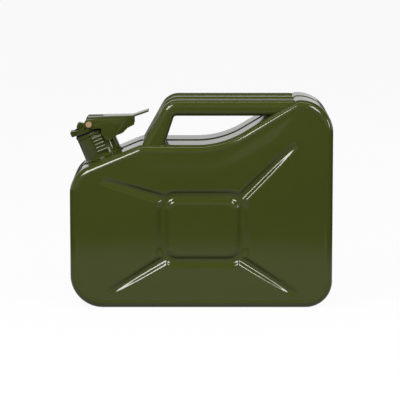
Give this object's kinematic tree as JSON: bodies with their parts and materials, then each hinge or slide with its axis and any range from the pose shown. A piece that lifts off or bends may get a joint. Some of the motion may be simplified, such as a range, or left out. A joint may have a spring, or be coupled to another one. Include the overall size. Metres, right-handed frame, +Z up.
{
  "type": "jerry can",
  "caption": "Pressed-steel fuel can with parallel grip bars and a tilted neck closed by a hinged, lever-clamped lid.",
  "frame": {"origin": "bottom centre of the whole object's box", "axes": "+Z up, X along the can with the neck at -X, Y across it; left is -Y and right is +Y"},
  "size_m": [0.3468, 0.135, 0.2745],
  "materials": {
    "olive_enamel": "gloss olive green enamel over pressed steel",
    "zinc_steel": "zinc plated steel",
    "black_rubber": "fuel resistant rubber",
    "copper": "bare copper-coloured rivet"
  },
  "bodies": {
    "can": {"side_shell_left": "olive_enamel", "side_shell_right": "olive_enamel", "seam_weld_band": "olive_enamel", "handle_bar_left": "olive_enamel", "handle_bar_centre": "olive_enamel", "handle_bar_right": "olive_enamel", "filler_neck": "olive_enamel", "neck_weld_collar": "olive_enamel", "mouth_ring": "olive_enamel", "breather_tube": "zinc_steel", "latch_lug_left": "olive_enamel", "latch_lug_right": "olive_enamel", "hinge_lug_left": "olive_enamel", "hinge_lug_right": "olive_enamel", "hinge_pin": "zinc_steel"},
    "lid": {"lid_plate": "olive_enamel", "lid_gasket": "black_rubber", "gasket_retainer": "zinc_steel", "retainer_rivet": "zinc_steel", "lid_bridge": "olive_enamel", "lid_catch": "olive_enamel", "pin_spacer_left": "zinc_steel", "pin_spacer_right": "zinc_steel"},
    "lever": {"lever_channel": "olive_enamel", "lever_pin": "copper"}
  },
  "joints": [
    {"name": "lid_open", "type": "hinge", "parent": "can", "child": "lid", "pos_m": [-0.11514, 0, 0.2386], "axis": [0, 1, 0], "range_deg": [0, 95]},
    {"name": "lever_lift", "type": "hinge", "parent": "lid", "child": "lever", "pos_m": [-0.14763, 0, 0.23943], "axis": [0, 1, 0], "range_deg": [-110, 0]}
  ],
  "couplings": [
    {"joint": "lever_lift", "follows": "lid_open", "ratio": -1.15}
  ]
}
